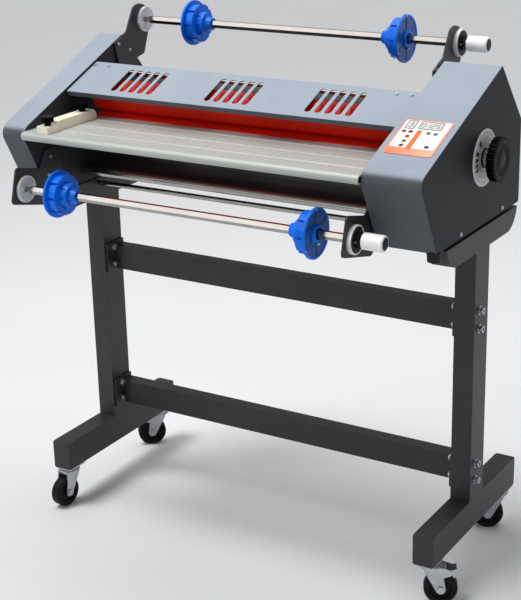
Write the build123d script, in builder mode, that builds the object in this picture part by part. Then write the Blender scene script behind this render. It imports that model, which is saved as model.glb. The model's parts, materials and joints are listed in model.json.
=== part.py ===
from build123d import *
import os
from math import cos, hypot, pi, radians, sin, tan

# A 650 mm roll laminator on a castor stand. Millimetres; X runs to the operator's right,
# Y to the back and Z up. The origin is on the floor, under the middle of the stand.

os.makedirs("parts", exist_ok=True)

# ---------------------------------------------------------------- driving dimensions

# Stand
LEG_X = 416.0                 # middle plane of each leg
TUBE_WIDTH = 40.0
TUBE_WALL = 3.0
FOOT_HALF = 190.0             # half the foot tube's length, without its end caps
FOOT_BOTTOM = 86.0
FOOT_TOP = 146.0
POST_DEPTH = 60.0
SADDLE_BOTTOM = 640.0
SADDLE_TOP = 680.7
SADDLE_HALF_TOP = 156.0
SADDLE_HALF_BOTTOM = 117.0
CAP_THICKNESS = 3.0
LEG_INNER = LEG_X - TUBE_WIDTH / 2
LEG_OUTER = LEG_X + TUBE_WIDTH / 2

BEAM_DEPTH = 30.0             # the beams lie behind the posts' middle plane
BEAM_HEIGHT = 50.0
BEAM_WALL = 2.5
BEAM_MIDDLES = {"beam_upper": 502.0, "beam_lower": 196.0}
FLANGE_THICKNESS = 5.0
BOLT_Y = -8.0                 # beam bolts, in front of the beams
BOLT_RISE = 6.0               # their middle above the beam's middle
BOLT_HALF_PITCH = 17.5
BOLT_RADIUS = 4.0

# Castors
SWIVEL_Y = 165.0
WHEEL_RADIUS = 31.5
WHEEL_WIDTH = 22.0
TRAIL = 22.0                  # swivel axis to axle
AXLE_RADIUS = 3.95
CROWN_TOP = 76.7
KING_PIN_RADIUS = 5.0
BRAKE_PIVOT = (38.0, 66.0)    # along the trail, height
# name: side of X, side of Y, heading of the trail in degrees, has a brake
CASTORS = {
    "left_front": (-1, -1, 264.0, False),
    "right_front": (1, -1, 27.0, True),
    "left_rear": (-1, 1, 222.0, True),
    "right_rear": (1, 1, 208.0, False),
}

# Machine body
MACHINE_BOTTOM = 685.7
KNEE = (-264.5, 825.8)        # front edge of the sloped face, (Y, Z)
RIDGE = (68.6, 958.5)
BACK = 166.0
BACK_KNEE = 843.6
FRONT_FOOT = -193.7
KNEE_RADIUS = 22.0
SHEET = 1.5
LEFT_OUTER = -446.7
LEFT_INNER = -393.0
RIGHT_INNER = 323.5
RIGHT_OUTER = 434.8
PLATE = 6.0                   # side plates
WALL_GAP = 0.5                # crosswise sheets to the side plates

# Rollers
ROLLER_Y = -53.0
NIP_Z = 831.0
ROLLER_RADIUS = 30.85
CORE_RADIUS = 25.0
GEAR_PITCH_RADIUS = 31.0
LOWER_Z = NIP_Z - GEAR_PITCH_RADIUS
UPPER_Z = NIP_Z + GEAR_PITCH_RADIUS
ROLLER_LEFT = -360.0
ROLLER_RIGHT = 290.0
JOURNAL_RADIUS = 10.0
LIFT = 5.0
PULL_Y = 85.0
PULL_SPACING = 22.0           # pull roller axes above and below the nip
PULL_RADIUS = 21.85
PULL_JOURNAL = 8.0
GEAR_LEFT = 350.0
GEAR_RIGHT = 362.0
GEAR_TEETH = 32
PINION_TEETH = 16
GEAR_MODULE = 2 * GEAR_PITCH_RADIUS / GEAR_TEETH
PINION_Z = LOWER_Z - GEAR_PITCH_RADIUS - GEAR_MODULE * PINION_TEETH / 2
BEARING_GAP = 0.05

# Pressure cam
CAM_Y = -4.0
CAM_Z = 809.0
CAM_SHAFT_RADIUS = 5.0
CAM_LOW = 12.0                # cam radius with the rollers closed
CAM_GAP = 0.3
KNOB_RADIUS = 39.5
KNOB_LEFT = 454.0
KNOB_RIGHT = 468.0

# Supply shafts, (Y, Z) of each axis
SHAFT_AXES = {"upper": (143.0, 978.0), "lower": (-269.0, 717.0)}
HEX_ACROSS = 14.0
HEX_LEFT = -375.0
HEX_RIGHT = 305.0
SEAT_RADIUS = 25.7
BRACKET = 4.0
RIGHT_BRACKET = 313.0         # inner face of the right brackets, on spacers off the wall
CHUCK_LENGTH = 48.0
CHUCK_FLANGE = 45.0
CHUCK_DRUM = 37.8             # seats a 76 mm film core
# flange's outer face X, direction of the tip
CHUCKS = {
    "upper_left": ("upper", -268.0, 1),
    "upper_right": ("upper", 211.0, -1),
    "lower_left": ("lower", -310.0, 1),
    "lower_right": ("lower", 246.0, -1),
}

# Feed table
TABLE_TOP = 825.0
TABLE_THICK = 16.0
TABLE_FRONT = -266.0
TABLE_BACK = -86.0
GROOVES = (-115.5, -166.0, -216.5)

# Slope directions
SLOPE_LENGTH = hypot(RIDGE[0] - KNEE[0], RIDGE[1] - KNEE[1])
SLOPE_COS = (RIDGE[0] - KNEE[0]) / SLOPE_LENGTH
SLOPE_SIN = (RIDGE[1] - KNEE[1]) / SLOPE_LENGTH
# Local x is X, local y runs up the slope from the knee, and the normal leaves the face.
SLOPE_PLANE = Plane(
    origin=(0, KNEE[0], KNEE[1]), x_dir=(1, 0, 0), z_dir=(0, -SLOPE_SIN, SLOPE_COS)
)


# ---------------------------------------------------------------- helpers

def block(low, high, mode=Mode.ADD):
    """Adds or cuts the box between two opposite corners."""
    size = [b - a for a, b in zip(low, high)]
    middle = tuple((a + b) / 2 for a, b in zip(low, high))
    with Locations(middle):
        Box(*size, mode=mode)


def rod_x(x_from, x_to, axis, radius, mode=Mode.ADD):
    """Adds or cuts a cylinder along X through the point axis = (Y, Z)."""
    middle = Location(((x_from + x_to) / 2, axis[0], axis[1]), (0, 90, 0))
    with Locations(middle):
        Cylinder(radius, abs(x_to - x_from), mode=mode)


def cabinet_outline(inset):
    """Side view of the cabinets, in (Y, Z), drawn in by inset."""
    with BuildSketch() as outline:
        Polygon((FRONT_FOOT, MACHINE_BOTTOM), (BACK, MACHINE_BOTTOM), (BACK, BACK_KNEE), RIDGE, KNEE)
        corners = outline.vertices().sort_by(Axis.X)
        fillet(corners[0], KNEE_RADIUS)
        fillet(outline.vertices().sort_by(Axis.Y)[-1], 5)
        fillet(outline.vertices().sort_by(Axis.X)[-1], 5)
        if inset:
            offset(amount=-inset, mode=Mode.REPLACE)
    return outline.sketch


def leg_outline(wall):
    """Side view of a leg, in (Y, Z), drawn in by wall; the foot stays open at its ends."""
    with BuildSketch() as saddle:
        with BuildLine():
            ThreePointArc((-SADDLE_HALF_BOTTOM, SADDLE_BOTTOM), (-143, 654), (-SADDLE_HALF_TOP, SADDLE_TOP))
            Line((-SADDLE_HALF_TOP, SADDLE_TOP), (SADDLE_HALF_TOP, SADDLE_TOP))
            ThreePointArc((SADDLE_HALF_TOP, SADDLE_TOP), (143, 654), (SADDLE_HALF_BOTTOM, SADDLE_BOTTOM))
            Line((SADDLE_HALF_BOTTOM, SADDLE_BOTTOM), (-SADDLE_HALF_BOTTOM, SADDLE_BOTTOM))
        make_face()
        if wall:
            offset(amount=-wall, mode=Mode.REPLACE)
    with BuildSketch() as outline:
        with Locations((0, (FOOT_BOTTOM + FOOT_TOP) / 2)):
            Rectangle(2 * FOOT_HALF, FOOT_TOP - FOOT_BOTTOM - 2 * wall)
        with Locations((0, (FOOT_TOP + SADDLE_BOTTOM) / 2)):
            Rectangle(POST_DEPTH - 2 * wall, SADDLE_BOTTOM - FOOT_TOP + 2 * TUBE_WALL)
        add(saddle.sketch)
    return outline.sketch


def gear_outline(teeth, turn):
    """A spur gear's face: straight flanks, cut thin enough for running backlash."""
    pitch_radius = GEAR_MODULE * teeth / 2
    root = pitch_radius - 1.3 * GEAR_MODULE
    tip = pitch_radius + 0.85 * GEAR_MODULE
    half_tooth = pi * GEAR_MODULE / 4 - 0.3
    flank = tan(radians(22))
    half_tip = half_tooth - flank * (tip - pitch_radius)
    half_root = half_tooth + 0.7 * flank * (pitch_radius - root)
    with BuildSketch() as outline:
        Circle(root)
        with PolarLocations(0, teeth, start_angle=turn):
            Polygon((root - 1, -half_root), (tip, -half_tip), (tip, half_tip), (root - 1, half_root))
    return outline.sketch


def castor_planes(side_x, side_y, heading):
    """The swivel's level plane, and the upright plane that holds the trail."""
    trail = (cos(radians(heading)), sin(radians(heading)), 0)
    across = (trail[1], -trail[0], 0)
    origin = (side_x * LEG_X, side_y * SWIVEL_Y, 0)
    level = Plane(origin=origin, x_dir=trail, z_dir=(0, 0, 1))
    upright = Plane(origin=origin, x_dir=trail, z_dir=across)
    return level, upright


def along_x(axis):
    """A line along X through (Y, Z)."""
    return Axis((0, axis[0], axis[1]), (1, 0, 0))


# ---------------------------------------------------------------- stand

LEG_SIDES = {"leg_left": -1, "leg_right": 1}
BOLT_HEIGHTS = [
    middle + BOLT_RISE + step
    for middle in BEAM_MIDDLES.values()
    for step in (-BOLT_HALF_PITCH, BOLT_HALF_PITCH)
]

for node, side in LEG_SIDES.items():
    with BuildPart() as leg:
        with BuildSketch(Plane.YZ.offset(side * LEG_X)):
            add(leg_outline(0))
        extrude(amount=TUBE_WIDTH / 2, both=True)
        with BuildSketch(Plane.YZ.offset(side * LEG_X)):
            add(leg_outline(TUBE_WALL))
        extrude(amount=TUBE_WIDTH / 2 - TUBE_WALL, both=True, mode=Mode.SUBTRACT)
        for height in BOLT_HEIGHTS:
            rod_x(side * LEG_INNER, side * LEG_OUTER, (BOLT_Y, height), BOLT_RADIUS + 0.3, Mode.SUBTRACT)
        for end in (-1, 1):
            with Locations((side * LEG_X, end * SWIVEL_Y, FOOT_BOTTOM + TUBE_WALL / 2)):
                Cylinder(KING_PIN_RADIUS + 0.3, TUBE_WALL, mode=Mode.SUBTRACT)
    leg.part.label = node
    export_step(leg.part, f"parts/{node}.step")

with BuildPart() as foot_end_caps:
    for side in (-1, 1):
        for end in (-1, 1):
            middle_z = (FOOT_BOTTOM + FOOT_TOP) / 2
            cap_face = Plane(
                origin=(side * LEG_X, end * FOOT_HALF, middle_z), x_dir=(1, 0, 0), z_dir=(0, end, 0)
            )
            with BuildSketch(cap_face):
                RectangleRounded(TUBE_WIDTH, FOOT_TOP - FOOT_BOTTOM, 3)
            extrude(amount=CAP_THICKNESS)
            with BuildSketch(cap_face):
                Rectangle(TUBE_WIDTH - 2 * TUBE_WALL - 0.4, FOOT_TOP - FOOT_BOTTOM - 2 * TUBE_WALL - 0.4)
            extrude(amount=-12)
foot_end_caps.part.label = "foot_end_caps"
export_step(foot_end_caps.part, "parts/foot_end_caps.step")

for node, middle_z in BEAM_MIDDLES.items():
    with BuildPart() as beam:
        block(
            (-LEG_INNER, 0, middle_z - BEAM_HEIGHT / 2),
            (LEG_INNER, BEAM_DEPTH, middle_z + BEAM_HEIGHT / 2),
        )
        for side in (-1, 1):
            ends = sorted((side * (LEG_INNER - FLANGE_THICKNESS), side * LEG_INNER))
            block((ends[0], -26, middle_z - 28), (ends[1], BEAM_DEPTH, middle_z + 34))
        block(
            (-LEG_INNER, BEAM_WALL, middle_z - BEAM_HEIGHT / 2 + BEAM_WALL),
            (LEG_INNER, BEAM_DEPTH - BEAM_WALL, middle_z + BEAM_HEIGHT / 2 - BEAM_WALL),
            Mode.SUBTRACT,
        )
        for step in (-BOLT_HALF_PITCH, BOLT_HALF_PITCH):
            hole = (BOLT_Y, middle_z + BOLT_RISE + step)
            for side in (-1, 1):
                rod_x(side * (LEG_INNER - 6), side * LEG_INNER, hole, BOLT_RADIUS + 0.3, Mode.SUBTRACT)
    beam.part.label = node
    export_step(beam.part, f"parts/{node}.step")

with BuildPart() as stand_bolts:
    for side in (-1, 1):
        nut_face = side * (LEG_INNER - FLANGE_THICKNESS)
        for height in BOLT_HEIGHTS:
            axis = (BOLT_Y, height)
            rod_x(nut_face - side * 9, side * LEG_OUTER, axis, BOLT_RADIUS)
            rod_x(side * LEG_OUTER, side * (LEG_OUTER + 1.6), axis, 8.5)
            rod_x(side * (LEG_OUTER + 1.6), side * (LEG_OUTER + 8.5), axis, 6.5)
            with BuildSketch(Plane.YZ.offset(side * (LEG_OUTER + 8.5))):
                with Locations(axis):
                    RegularPolygon(3, 6, major_radius=False)
            extrude(amount=-side * 4, mode=Mode.SUBTRACT)
            with BuildSketch(Plane.YZ.offset(nut_face)):
                with Locations(axis):
                    RegularPolygon(6.5, 6, major_radius=False)
            extrude(amount=-side * 6.5)
stand_bolts.part.label = "stand_bolts"
export_step(stand_bolts.part, "parts/stand_bolts.step")

# ---------------------------------------------------------------- castors

with BuildPart() as caster_plates:
    for castor in CASTORS.values():
        swivel = Plane(origin=(castor[0] * LEG_X, castor[1] * SWIVEL_Y, 0))
        with BuildSketch(swivel.offset(83)):
            RectangleRounded(TUBE_WIDTH, 54, 5)
        extrude(amount=FOOT_BOTTOM - 83)
        with BuildSketch(swivel.offset(CROWN_TOP + 0.3)):
            Circle(17)
        extrude(amount=83 - CROWN_TOP - 0.3, taper=-25)
        with BuildSketch(swivel.offset(68)):
            Circle(KING_PIN_RADIUS)
        extrude(amount=24)
        with BuildSketch(swivel.offset(66.5)):
            Circle(8)
        extrude(amount=3)
caster_plates.part.label = "caster_plates"
export_step(caster_plates.part, "parts/caster_plates.step")

FORK_INNER = 12.5
FORK_SHEET = 2.5

for name, (side_x, side_y, heading, braked) in CASTORS.items():
    level, upright = castor_planes(side_x, side_y, heading)
    axle = (TRAIL, WHEEL_RADIUS)

    with BuildPart() as fork:
        with BuildSketch(level.offset(CROWN_TOP - FORK_SHEET)):
            with BuildLine():
                CenterArc((0, 0), 18.5, 90, 180)
                Polyline((0, 18.5), (24, 15), (24, -15), (0, -18.5))
            make_face()
        extrude(amount=FORK_SHEET)
        with BuildSketch(upright):
            with BuildLine():
                CenterArc(axle, 9, 0, 360)
                Polyline((-9, CROWN_TOP), (-9, 70), (24, 70), (24, CROWN_TOP), close=True)
            make_hull()
            if braked:
                with BuildSketch(mode=Mode.PRIVATE) as ear:
                    with BuildLine():
                        CenterArc(BRAKE_PIVOT, 6, 0, 360)
                        Polyline((4, CROWN_TOP), (4, 58), (14, 52), (24, CROWN_TOP), close=True)
                    make_hull()
                add(ear.sketch)
        extrude(amount=FORK_INNER + FORK_SHEET, both=True)
        with BuildSketch(upright):
            with Locations((TRAIL, (CROWN_TOP - FORK_SHEET) / 2)):
                Rectangle(90, CROWN_TOP - FORK_SHEET)
        extrude(amount=FORK_INNER, both=True, mode=Mode.SUBTRACT)
        with BuildSketch(level.offset(CROWN_TOP)):
            Circle(KING_PIN_RADIUS + 0.06)
        extrude(amount=-FORK_SHEET, mode=Mode.SUBTRACT)
        with BuildSketch(upright):
            with Locations(axle):
                Circle(AXLE_RADIUS)
        extrude(amount=FORK_INNER + FORK_SHEET + 3, both=True)
        for face in (1, -1):
            with BuildSketch(upright.offset(face * (FORK_INNER + FORK_SHEET))):
                with Locations(axle):
                    RegularPolygon(6.5, 6, major_radius=False)
            extrude(amount=face * 3)
        if braked:
            with BuildSketch(upright):
                with Locations(BRAKE_PIVOT):
                    Circle(2.5)
            extrude(amount=FORK_INNER + FORK_SHEET + 1, both=True)
    fork.part.label = f"caster_fork_{name}"
    export_step(fork.part, f"parts/caster_fork_{name}.step")

    with BuildPart() as wheel:
        with BuildSketch(upright):
            with Locations(axle):
                Circle(WHEEL_RADIUS)
        extrude(amount=WHEEL_WIDTH / 2, both=True)
        fillet(wheel.edges().filter_by(GeomType.CIRCLE), 4)
        for face in (1, -1):
            with BuildSketch(upright.offset(face * WHEEL_WIDTH / 2)):
                with Locations(axle):
                    Circle(21)
                    Circle(9, mode=Mode.SUBTRACT)
            extrude(amount=-face * 4, mode=Mode.SUBTRACT)
        with BuildSketch(upright):
            with Locations(axle):
                Circle(AXLE_RADIUS + BEARING_GAP)
        extrude(amount=WHEEL_WIDTH, both=True, mode=Mode.SUBTRACT)
    wheel.part.label = f"caster_wheel_{name}"
    export_step(wheel.part, f"parts/caster_wheel_{name}.step")

    if braked:
        with BuildPart() as pedal:
            with BuildSketch(upright):
                with Locations(BRAKE_PIVOT):
                    Circle(4.5)
                with BuildLine():
                    Polyline((38, 67), (50, 69.3), (53, 67.3), (54.5, 69.3), (51, 73), (38, 70.5), close=True)
                make_face()
                Polygon((43, 69), (44.8, 55.7), (48.4, 56.3), (48.5, 70))
            extrude(amount=FORK_INNER - 0.5, both=True)
            with BuildSketch(upright):
                with Locations(BRAKE_PIVOT):
                    Circle(2.5 + BEARING_GAP)
            extrude(amount=FORK_INNER, both=True, mode=Mode.SUBTRACT)
        pedal.part.label = f"brake_pedal_{name}"
        export_step(pedal.part, f"parts/brake_pedal_{name}.step")

# ---------------------------------------------------------------- machine body

with BuildPart() as rubber_feet:
    for foot_x in (-436.0, 425.0):
        with BuildSketch(Plane(origin=(foot_x, -186, 670))):
            Circle(11)
        extrude(amount=MACHINE_BOTTOM - 670, taper=-4)
    for side in (-1, 1):
        for pad_y in (-110, 110):
            with BuildSketch(Plane(origin=(side * LEG_X, pad_y, SADDLE_TOP))):
                Circle(13)
            extrude(amount=MACHINE_BOTTOM - SADDLE_TOP)
rubber_feet.part.label = "rubber_feet"
export_step(rubber_feet.part, "parts/rubber_feet.step")

BLOCK_FRONT = ROLLER_Y - 24
BLOCK_BACK = ROLLER_Y + 24
# node: (inner face X, direction that leads away from the film)
PLATES = {"side_plate_left": (LEFT_INNER, -1), "side_plate_right": (RIGHT_INNER, 1)}
SPRING_X = {"side_plate_left": -408.5, "side_plate_right": 339.0}
SPRING_TOP = 898.0
SPRING_BOTTOM = 878.3
SHAFT_HOLES = [(CAM_Y, CAM_Z, CAM_SHAFT_RADIUS + BEARING_GAP)]
SHAFT_HOLES += [(PULL_Y, NIP_Z + side * PULL_SPACING, PULL_JOURNAL + 3) for side in (-1, 1)]
WALL_SCREWS = [(49.3, 940.8), (85.4, 923.7), (-188.0, 762.0), (-198.0, 728.0)]

for node, (inner, outward) in PLATES.items():
    outer = inner + outward * PLATE
    with BuildPart() as plate:
        with BuildSketch(Plane.YZ.offset(inner)):
            add(cabinet_outline(SHEET + 0.2))
            for y, z, radius in SHAFT_HOLES:
                with Locations((y, z)):
                    Circle(radius, mode=Mode.SUBTRACT)
            with Locations((ROLLER_Y, LOWER_Z)):
                Circle(JOURNAL_RADIUS + 3, mode=Mode.SUBTRACT)
            with Locations((ROLLER_Y, UPPER_Z + LIFT / 2)):
                SlotOverall(2 * JOURNAL_RADIUS + 6 + LIFT, 2 * JOURNAL_RADIUS + 6, rotation=90,
                            mode=Mode.SUBTRACT)
            for screw in WALL_SCREWS:
                with Locations(screw):
                    Circle(2.1, mode=Mode.SUBTRACT)
        extrude(amount=outward * PLATE)
        # Guide rails beside the sliding bearing block, and the seat above its spring.
        ends = sorted((outer, outer + outward * 12))
        block((ends[0], BLOCK_FRONT - 6, 842), (ends[1], BLOCK_FRONT - 0.2, 890))
        block((ends[0], BLOCK_BACK + 0.2, 867), (ends[1], BLOCK_BACK + 6, 890))
        ends = sorted((outer, outer + outward * 19))
        block((ends[0], ROLLER_Y - 12, SPRING_TOP), (ends[1], ROLLER_Y + 12, SPRING_TOP + 4))
    plate.part.label = node
    export_step(plate.part, f"parts/{node}.step")

INLET_LEFT = 345.0
INLET_RIGHT = 425.0
INLET_Z = 722.0
SIDE_SCREWS = [(-97.0, 694.0), (86.0, 694.0)]

COVERS = {
    "cabinet_cover_left": (LEFT_OUTER, LEFT_INNER, 1),
    "cabinet_cover_right": (RIGHT_OUTER, RIGHT_INNER, -1),
}
for node, (outer, inner, inward) in COVERS.items():
    with BuildPart() as cover:
        with BuildSketch(Plane.YZ.offset(outer)):
            add(cabinet_outline(0))
        extrude(amount=inner - outer)
        fillet(cover.faces().sort_by(Axis.X)[0 if inward > 0 else -1].edges(), 1.3)
        with BuildSketch(Plane.YZ.offset(outer + inward * SHEET)):
            add(cabinet_outline(SHEET))
        extrude(amount=inner - outer - inward * SHEET, mode=Mode.SUBTRACT)
        for screw in SIDE_SCREWS:
            rod_x(outer, outer + inward * SHEET, screw, 2.1, Mode.SUBTRACT)
        if node == "cabinet_cover_right":
            rod_x(outer, outer + inward * SHEET, (CAM_Y, CAM_Z), 8, Mode.SUBTRACT)
            block((INLET_LEFT + 4, BACK - 3, INLET_Z - 18), (INLET_RIGHT - 4, BACK + 1, INLET_Z + 18),
                  Mode.SUBTRACT)
    cover.part.label = node
    export_step(cover.part, f"parts/{node}.step")

# The slotted cover between the cabinets lies 5 mm below their sloped faces.
COVER_SINK = 5.0
COVER_FRONT = 151.5           # distances up the slope from the knee
COVER_REAR = 260.0
COVER_LIP = 10.0
COVER_END = 7.5               # depth of the folded ends, clear of the upper guide bar
SLOT_LENGTH = 75.0
SLOT_WIDTH = 12.5
SLOT_PITCH = 20.6
SLOT_MIDDLE = 205.5
SLOT_SHIFT = -2.3             # the slots stand this far left of the middle
SLOT_GROUP_PITCH = 214.3
MACHINE_MIDDLE = (LEFT_INNER + RIGHT_INNER) / 2
COVER_SCREW_S = 248.0
COVER_SCREW_X = (-386.0, -354.5, 278.0, 307.7)
SPAN_LEFT = LEFT_INNER + WALL_GAP
SPAN_RIGHT = RIGHT_INNER - WALL_GAP
SPAN = SPAN_RIGHT - SPAN_LEFT

cover_top = SLOPE_PLANE.offset(-COVER_SINK)
with BuildPart() as top_cover:
    with BuildSketch(cover_top.offset(-SHEET)):
        with Locations((MACHINE_MIDDLE, (COVER_FRONT + COVER_REAR) / 2)):
            Rectangle(SPAN, COVER_REAR - COVER_FRONT)
    extrude(amount=SHEET)
    with BuildSketch(cover_top):
        for lip in (COVER_FRONT + SHEET / 2, COVER_REAR - SHEET / 2):
            with Locations((MACHINE_MIDDLE, lip)):
                Rectangle(SPAN, SHEET)
    extrude(amount=-COVER_LIP)
    with BuildSketch(cover_top):
        for end in (SPAN_LEFT + SHEET / 2, SPAN_RIGHT - SHEET / 2):
            with Locations((end, (COVER_FRONT + COVER_REAR) / 2)):
                Rectangle(SHEET, COVER_REAR - COVER_FRONT)
    extrude(amount=-COVER_END)
    with BuildSketch(cover_top):
        for group in (-1, 0, 1):
            for slot in range(-2, 3):
                slot_x = MACHINE_MIDDLE + SLOT_SHIFT + group * SLOT_GROUP_PITCH + slot * SLOT_PITCH
                with Locations((slot_x, SLOT_MIDDLE)):
                    SlotOverall(SLOT_LENGTH, SLOT_WIDTH, rotation=90)
        for screw_x in COVER_SCREW_X:
            with Locations((screw_x, COVER_SCREW_S)):
                Circle(2.1)
    extrude(amount=-2 * SHEET, mode=Mode.SUBTRACT)
top_cover.part.label = "top_cover"
export_step(top_cover.part, "parts/top_cover.step")

SCREW_HEAD = 3.8
SCREW_HEIGHT = 2.2
SCREW_SHANK = 7.0
BRACKET_SHANK = 13.5          # reaches the wall through the right brackets' spacers
screws = []                   # face under each head, shank length
for x in COVER_SCREW_X:
    head_seat = cover_top.from_local_coords((x, COVER_SCREW_S, 0))
    screws.append((cover_top.shift_origin(head_seat), SCREW_SHANK))
for y, z in WALL_SCREWS:
    screws.append((Plane(origin=(LEFT_INNER + BRACKET, y, z), z_dir=(1, 0, 0)), SCREW_SHANK))
    screws.append((Plane(origin=(RIGHT_BRACKET, y, z), z_dir=(-1, 0, 0)), BRACKET_SHANK))
for y, z in SIDE_SCREWS:
    screws.append((Plane(origin=(LEFT_OUTER, y, z), z_dir=(-1, 0, 0)), SCREW_SHANK))
    screws.append((Plane(origin=(RIGHT_OUTER, y, z), z_dir=(1, 0, 0)), SCREW_SHANK))

with BuildPart() as cover_screws:
    for face, shank in screws:
        with BuildSketch(face):
            Circle(SCREW_HEAD)
        extrude(amount=SCREW_HEIGHT, taper=22)
        with BuildSketch(face):
            Circle(2)
        extrude(amount=-shank)
        with BuildSketch(face.offset(SCREW_HEIGHT)):
            Rectangle(3.4, 0.8)
            Rectangle(0.8, 3.4)
        extrude(amount=-1.4, mode=Mode.SUBTRACT)
cover_screws.part.label = "cover_screws"
export_step(cover_screws.part, "parts/cover_screws.step")

with BuildPart() as guide_bars:
    rod_x(LEFT_INNER + 0.1, RIGHT_INNER - 0.1, (-91, 712), 7.75)
    rod_x(LEFT_INNER + 0.1, RIGHT_INNER - 0.1, (20, 892.4), 6)
    rod_x(-LEG_INNER, LEG_INNER, (-36, 671.8), 5)
guide_bars.part.label = "guide_bars"
export_step(guide_bars.part, "parts/guide_bars.step")

TRAY_FRONT = (-80.0, 717.5)
TRAY_ANGLE = 23.3
TRAY_LENGTH = 109.0
tray_plane = Plane(
    origin=(SPAN_LEFT, TRAY_FRONT[0], TRAY_FRONT[1]),
    x_dir=(0, cos(radians(TRAY_ANGLE)), sin(radians(TRAY_ANGLE))),
    z_dir=(1, 0, 0),
)
with BuildPart() as lower_tray:
    with BuildSketch(tray_plane):
        with Locations((TRAY_LENGTH / 2, -SHEET / 2)):
            Rectangle(TRAY_LENGTH, SHEET)
        with Locations((SHEET / 2, -6), (TRAY_LENGTH - SHEET / 2, -6)):
            Rectangle(SHEET, 12)
    extrude(amount=SPAN)
lower_tray.part.label = "lower_tray"
export_step(lower_tray.part, "parts/lower_tray.step")

with BuildPart() as rear_panel:
    with BuildSketch(Plane.YZ.offset(SPAN_LEFT)):
        with BuildLine():
            panel_line = Polyline((158, 690), (158, 812), (128, 812))
            offset(panel_line, amount=SHEET / 2, side=Side.BOTH)
        make_face()
    extrude(amount=SPAN)
rear_panel.part.label = "rear_panel"
export_step(rear_panel.part, "parts/rear_panel.step")

NOSE_RADIUS = 7.6
TABLE_WALL = 2.5
with BuildPart() as feed_table:
    with BuildSketch(Plane.YZ.offset(SPAN_LEFT)) as table_profile:
        table_middle = ((TABLE_FRONT + TABLE_BACK) / 2, TABLE_TOP - TABLE_THICK / 2)
        with Locations(table_middle):
            Rectangle(TABLE_BACK - TABLE_FRONT, TABLE_THICK)
        fillet(table_profile.vertices().group_by(Axis.X)[0], NOSE_RADIUS)
        offset(amount=-TABLE_WALL, kind=Kind.INTERSECTION, mode=Mode.SUBTRACT)
        with Locations((GROOVES[0], table_middle[1]), (GROOVES[2], table_middle[1])):
            Rectangle(TABLE_WALL, TABLE_THICK - 1)
        for groove in GROOVES:
            with Locations((groove, TABLE_TOP - 0.6)):
                Rectangle(2, 1.2, mode=Mode.SUBTRACT)
    extrude(amount=SPAN)
feed_table.part.label = "feed_table"
export_step(feed_table.part, "parts/feed_table.step")

# ---------------------------------------------------------------- roller train

BEARING_WIDTH = 16.0
BEARING_ENDS = {
    -1: (LEFT_INNER - PLATE - BEARING_WIDTH, LEFT_INNER - PLATE),
    1: (RIGHT_INNER + PLATE, RIGHT_INNER + PLATE + BEARING_WIDTH),
}

with BuildPart() as lower_bearings:
    for ends in BEARING_ENDS.values():
        block((ends[0], BLOCK_FRONT, LOWER_Z - 24), (ends[1], BLOCK_BACK, LOWER_Z + 20))
        rod_x(ends[0], ends[1], (ROLLER_Y, LOWER_Z), JOURNAL_RADIUS + BEARING_GAP, Mode.SUBTRACT)
        block((ends[0], PULL_Y - 18, NIP_Z - 44), (ends[1], PULL_Y + 18, NIP_Z + 44))
        for side in (-1, 1):
            axis = (PULL_Y, NIP_Z + side * PULL_SPACING)
            rod_x(ends[0], ends[1], axis, PULL_JOURNAL + BEARING_GAP, Mode.SUBTRACT)
lower_bearings.part.label = "lower_bearings"
export_step(lower_bearings.part, "parts/lower_bearings.step")

FOLLOWER_Z = CAM_Z + CAM_LOW + CAM_GAP
with BuildPart() as upper_bearing_blocks:
    for side, ends in BEARING_ENDS.items():
        low_x = ends[0] + (0.3 if side > 0 else -1.5)
        high_x = ends[1] + (1.5 if side > 0 else -0.3)
        block((low_x, BLOCK_FRONT, UPPER_Z - 14), (high_x, BLOCK_BACK, SPRING_BOTTOM - 0.3))
        block((low_x, BLOCK_BACK - 10, FOLLOWER_Z + 4), (high_x, CAM_Y + 16, UPPER_Z))
        block((low_x, CAM_Y - 14, FOLLOWER_Z), (high_x, CAM_Y + 16, FOLLOWER_Z + 10))
        rod_x(low_x, high_x, (ROLLER_Y, UPPER_Z), JOURNAL_RADIUS + BEARING_GAP, Mode.SUBTRACT)
upper_bearing_blocks.part.label = "upper_bearing_blocks"
export_step(upper_bearing_blocks.part, "parts/upper_bearing_blocks.step")

with BuildPart() as pressure_springs:
    for node in PLATES:
        spring_base = (SPRING_X[node], ROLLER_Y, SPRING_BOTTOM + 1.4)
        with BuildLine() as coil:
            Helix(pitch=5, height=SPRING_TOP - SPRING_BOTTOM - 2.8, radius=6.8, center=spring_base)
        with BuildSketch(Plane(origin=coil.line @ 0, z_dir=coil.line % 0)):
            Circle(1.3)
        sweep(is_frenet=True)
pressure_springs.part.label = "pressure_springs"
export_step(pressure_springs.part, "parts/pressure_springs.step")

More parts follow.
